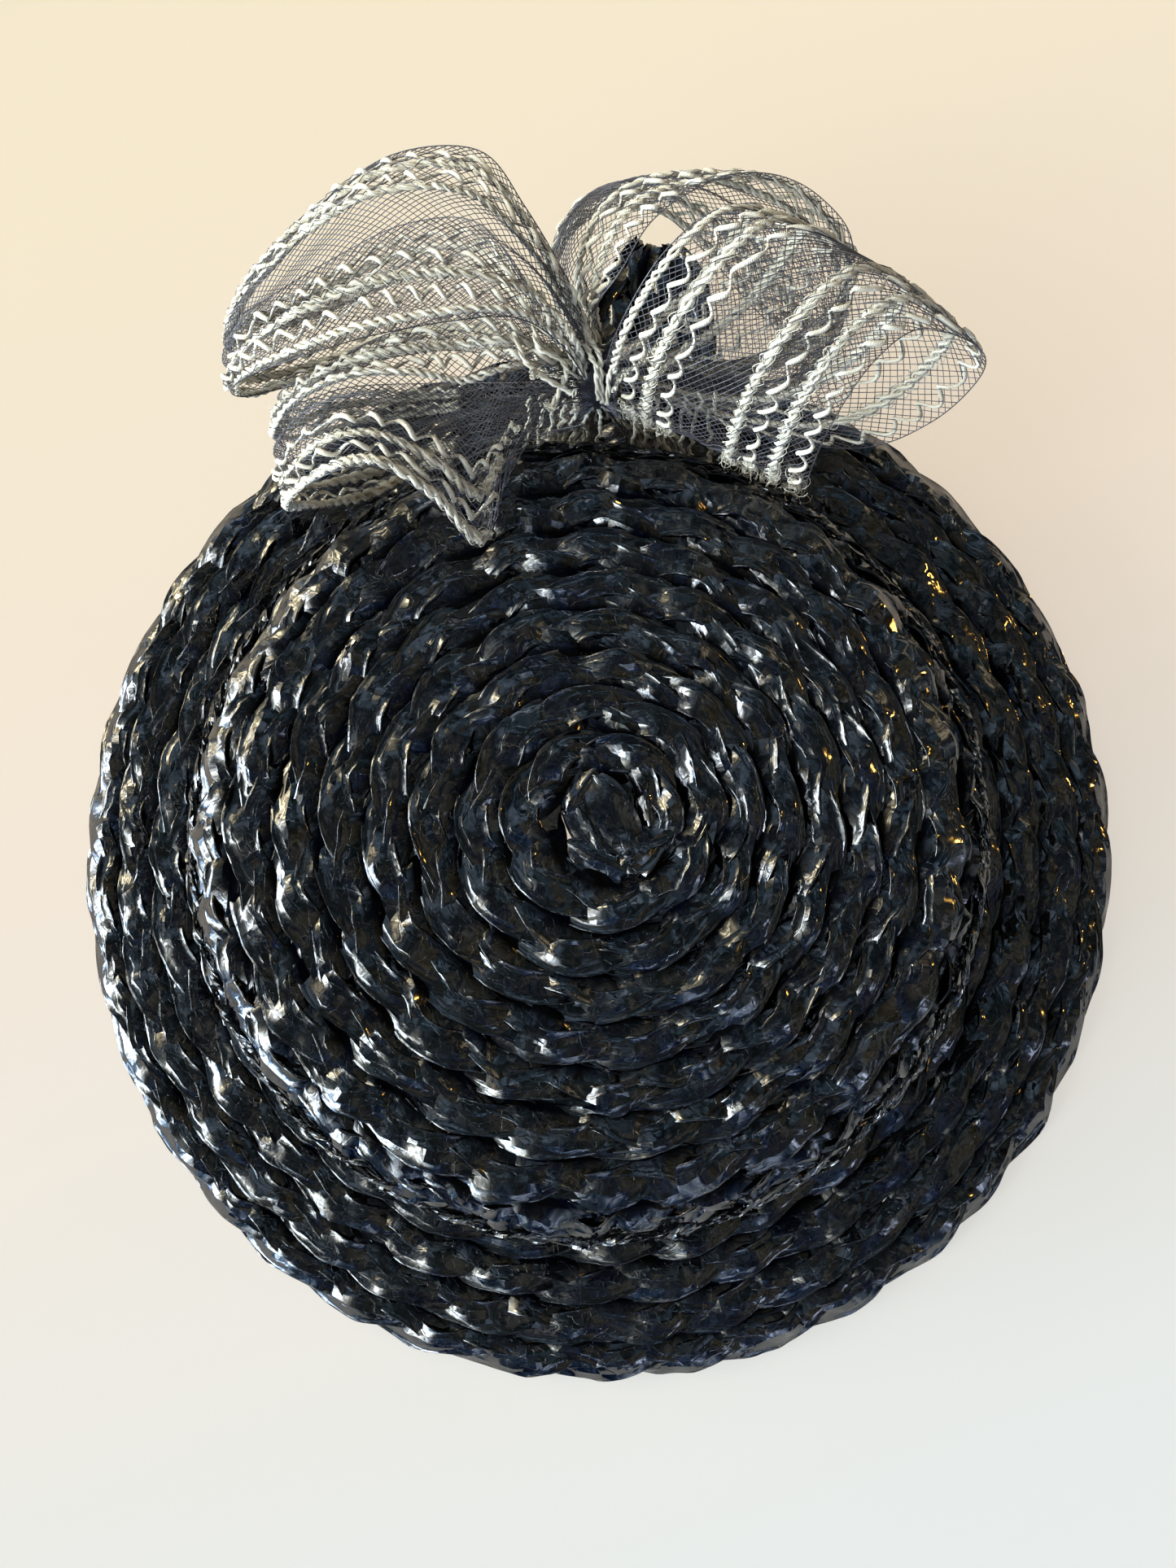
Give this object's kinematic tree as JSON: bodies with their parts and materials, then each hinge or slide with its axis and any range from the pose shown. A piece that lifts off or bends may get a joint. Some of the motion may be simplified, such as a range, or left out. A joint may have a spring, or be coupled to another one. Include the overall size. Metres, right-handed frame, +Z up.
{
  "type": "tilt hat with a bow",
  "caption": "Small round tilt hat of glossy plaited straw with a shallow crown, a narrow scalloped brim and a large striped horsehair bow behind the crown.",
  "frame": {"origin": "middle of the whole hat's footprint on the surface it rests on; the crown's axis stands 13 mm towards -Y", "axes": "+Z up out of the crown, +Y towards the bow at the back, +X to the right in the picture"},
  "size_m": [0.2296, 0.2559, 0.0812],
  "materials": {
    "straw": "glossy black plaited cellophane straw with a navy cast",
    "ribbon": "open black and navy horsehair net",
    "yarn": "cream cotton yarn, soft and matte",
    "thread": "black sewing thread"
  },
  "bodies": {
    "root": {"crown": "straw", "brim": "straw", "straw_tab": "straw", "left_far_loop": "ribbon", "left_near_loop": "ribbon", "right_front_loop": "ribbon", "right_back_loop": "ribbon", "left_gather": "ribbon", "right_gather": "ribbon", "bow_knot": "thread"}
  },
  "joints": []
}
